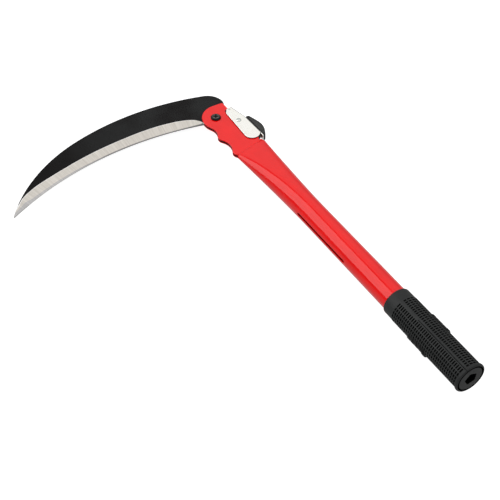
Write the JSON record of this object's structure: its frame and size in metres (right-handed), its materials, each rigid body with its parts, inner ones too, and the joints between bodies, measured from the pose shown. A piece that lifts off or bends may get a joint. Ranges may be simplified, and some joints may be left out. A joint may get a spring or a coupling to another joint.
{
  "type": "folding hand sickle",
  "caption": "Folding sickle: a curved, bevelled blade pivots into a slotted steel tube handle with a sprung lock lever and a rubber grip.",
  "frame": {"origin": "mouth of the hanging hole in the end face of the grip, on the handle's axis", "axes": "+X along the handle and out of the grip's end; the blade lies in the XY plane with the cutting side of the handle towards -Y; +Z normal to the blade"},
  "size_m": [0.459, 0.2734, 0.0306],
  "materials": {
    "red_paint": "gloss red paint on steel",
    "grip_rubber": "moulded black rubber with small pits",
    "blade_steel": "satin black coating with a bare ground bevel",
    "black_steel": "black oxide",
    "plated_steel": "bright plated sheet steel",
    "spring_steel": "plain spring strip",
    "pad_plastic": "ribbed charcoal plastic"
  },
  "bodies": {
    "handle": {"handle_tube": "red_paint", "grip": "grip_rubber", "pivot_barrel": "black_steel", "pivot_screw": "black_steel", "lever_rivet": "plated_steel", "lever_spring": "spring_steel"},
    "blade": {"blade": "blade_steel"},
    "lever": {"lever": "plated_steel", "lock_pin": "plated_steel", "thumb_pad": "pad_plastic"}
  },
  "joints": [
    {"name": "blade_fold", "type": "hinge", "parent": "handle", "child": "blade", "pos_m": [-0.406, -0.0064, 0], "axis": [0, 0, 1], "range_deg": [0, 87]},
    {"name": "lever_press", "type": "hinge", "parent": "handle", "child": "lever", "pos_m": [-0.3888, 0.0109, 0], "axis": [0, 0, -1], "range_deg": [-4, 3], "stiffness_Nm_per_rad": 0.5, "springref_deg": -11.46, "deforming": ["lever_spring"]}
  ]
}
